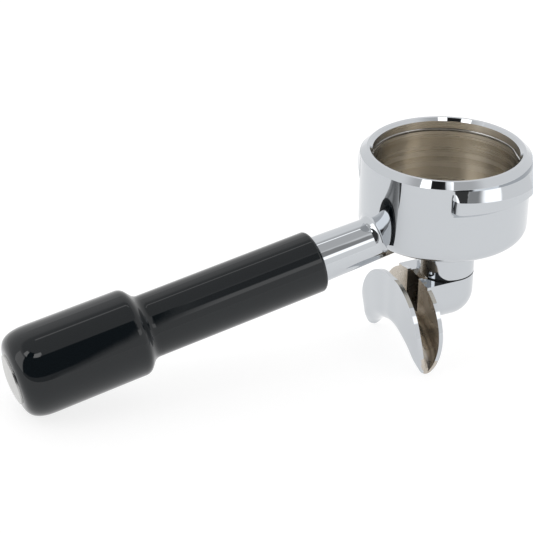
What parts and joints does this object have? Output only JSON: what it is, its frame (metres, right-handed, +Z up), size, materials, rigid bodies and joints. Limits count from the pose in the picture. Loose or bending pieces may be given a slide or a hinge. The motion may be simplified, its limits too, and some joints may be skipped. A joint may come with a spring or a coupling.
{
  "type": "portafilter",
  "caption": "Chromed two-cup portafilter: bayonet-lug cup for a 58 mm class basket, black knob-ended handle and an open two-horn spout that unscrews.",
  "frame": {"origin": "centre of the cup's mouth, on the rim plane", "axes": "+Z up out of the cup along its bore, +X towards the handle's knob, +Y to the right of a user behind the knob facing the cup"},
  "size_m": [0.2264, 0.0774, 0.0916],
  "materials": {
    "chrome_casting": "chromed brass casting, machined and left bare nickel inside the cup",
    "chrome_spout": "chromed outside, unpolished nickel inside the trough",
    "spring_steel": "drawn stainless wire",
    "seal": "black fibre washer",
    "black_moulding": "glossy black phenolic",
    "zinc_steel": "zinc plated",
    "cap_steel": "satin stainless"
  },
  "bodies": {
    "holder": {"portafilter_body": "chrome_casting", "retaining_spring": "spring_steel", "handle_grip": "black_moulding", "tie_bolt": "zinc_steel", "flat_washer": "zinc_steel", "spring_washer": "zinc_steel", "end_cap": "cap_steel"},
    "seal": {"spout_gasket": "seal"},
    "spout": {"double_spout": "chrome_spout"}
  },
  "joints": [
    {"name": "spout_advance", "type": "slide", "parent": "holder", "child": "seal", "axis": [0, 0, -1], "range_m": [0, 0.00868]},
    {"name": "spout_turn", "type": "hinge", "parent": "seal", "child": "spout", "pos_m": [-0.0029, 0, -0.0568], "axis": [0, 0, -1], "range_deg": [0, 2340]}
  ],
  "couplings": [
    {"joint": "spout_turn", "follows": "spout_advance", "rad_per_m": 4699.5}
  ]
}
